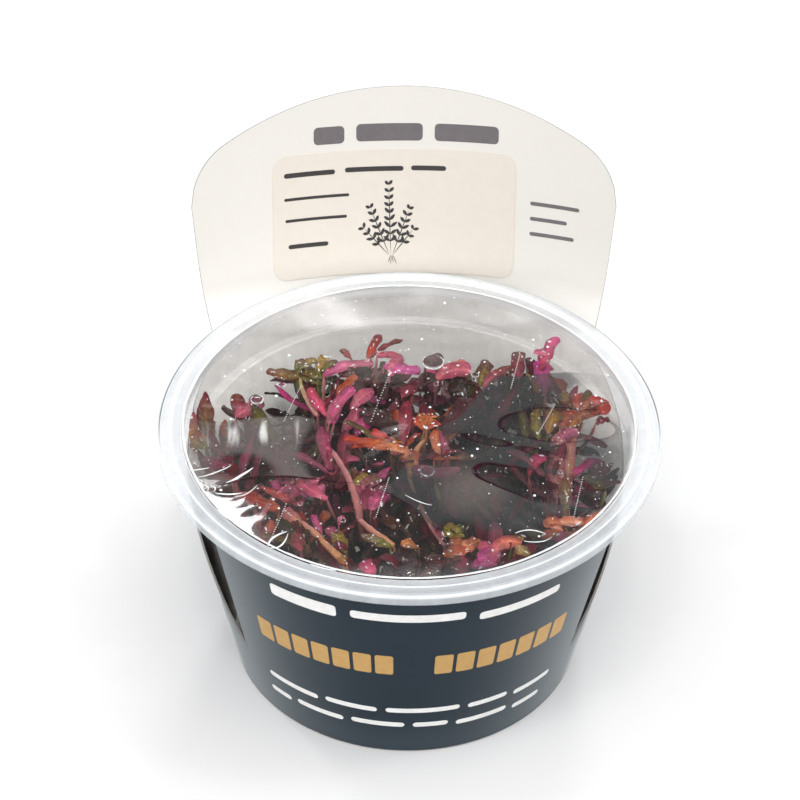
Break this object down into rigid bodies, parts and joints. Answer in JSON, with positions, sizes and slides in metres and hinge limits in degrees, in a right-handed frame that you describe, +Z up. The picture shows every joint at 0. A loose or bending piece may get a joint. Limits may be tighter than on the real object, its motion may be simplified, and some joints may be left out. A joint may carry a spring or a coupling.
{
  "type": "potted aquarium plant",
  "caption": "Young red rotala shoots in a round translucent culture cup with a clear sealed film, in a dark card sleeve with a tall display panel",
  "frame": {"origin": "centre of the cup's flat underside", "axes": "+Z up out of the cup's mouth, the display panel at +Y, the sleeve's front at -Y"},
  "size_m": [0.1, 0.1142, 0.0941],
  "materials": {
    "cup_plastic": "translucent, satin, slightly cloudy",
    "film": "clear, glossy, with fine wrinkles and small drops under it",
    "gel": "clear, wet",
    "card": "semi-gloss dark slate print outside, pale cream on the display face",
    "label_paper": "satin",
    "leaf_pink": "moist, waxy, slightly translucent",
    "leaf_crimson": "moist, waxy, slightly translucent",
    "leaf_orange": "moist, waxy, slightly translucent",
    "leaf_olive": "moist, waxy, slightly translucent",
    "leaf_brown": "moist, waxy, slightly translucent",
    "leaf_dark": "moist, waxy, slightly translucent"
  },
  "bodies": {
    "root": {"cup": "cup_plastic", "lid_film": "film", "nutrient_gel": "gel", "card_sleeve": "card", "label_sticker": "label_paper", "rotala_shoot_01": "leaf_pink", "rotala_shoot_02": "leaf_orange", "rotala_shoot_03": "leaf_brown", "rotala_shoot_04": "leaf_olive", "rotala_shoot_05": "leaf_pink", "rotala_shoot_06": "leaf_pink", "rotala_shoot_07": "leaf_brown", "rotala_shoot_08": "leaf_olive", "rotala_shoot_09": "leaf_dark", "rotala_shoot_10": "leaf_orange", "rotala_shoot_11": "leaf_crimson", "rotala_shoot_12": "leaf_orange", "rotala_shoot_13": "leaf_orange", "rotala_shoot_14": "leaf_pink", "rotala_shoot_15": "leaf_pink", "rotala_shoot_16": "leaf_crimson", "rotala_shoot_17": "leaf_crimson", "rotala_shoot_18": "leaf_orange", "rotala_shoot_19": "leaf_olive", "rotala_shoot_20": "leaf_pink", "rotala_shoot_21": "leaf_orange", "rotala_shoot_22": "leaf_pink", "rotala_shoot_23": "leaf_dark", "rotala_shoot_24": "leaf_crimson", "rotala_shoot_25": "leaf_crimson", "rotala_shoot_26": "leaf_brown", "rotala_shoot_27": "leaf_dark", "rotala_shoot_28": "leaf_dark", "rotala_shoot_29": "leaf_pink", "rotala_shoot_30": "leaf_dark", "rotala_shoot_31": "leaf_brown", "rotala_shoot_32": "leaf_dark", "rotala_shoot_33": "leaf_brown", "rotala_shoot_34": "leaf_olive"}
  },
  "joints": []
}
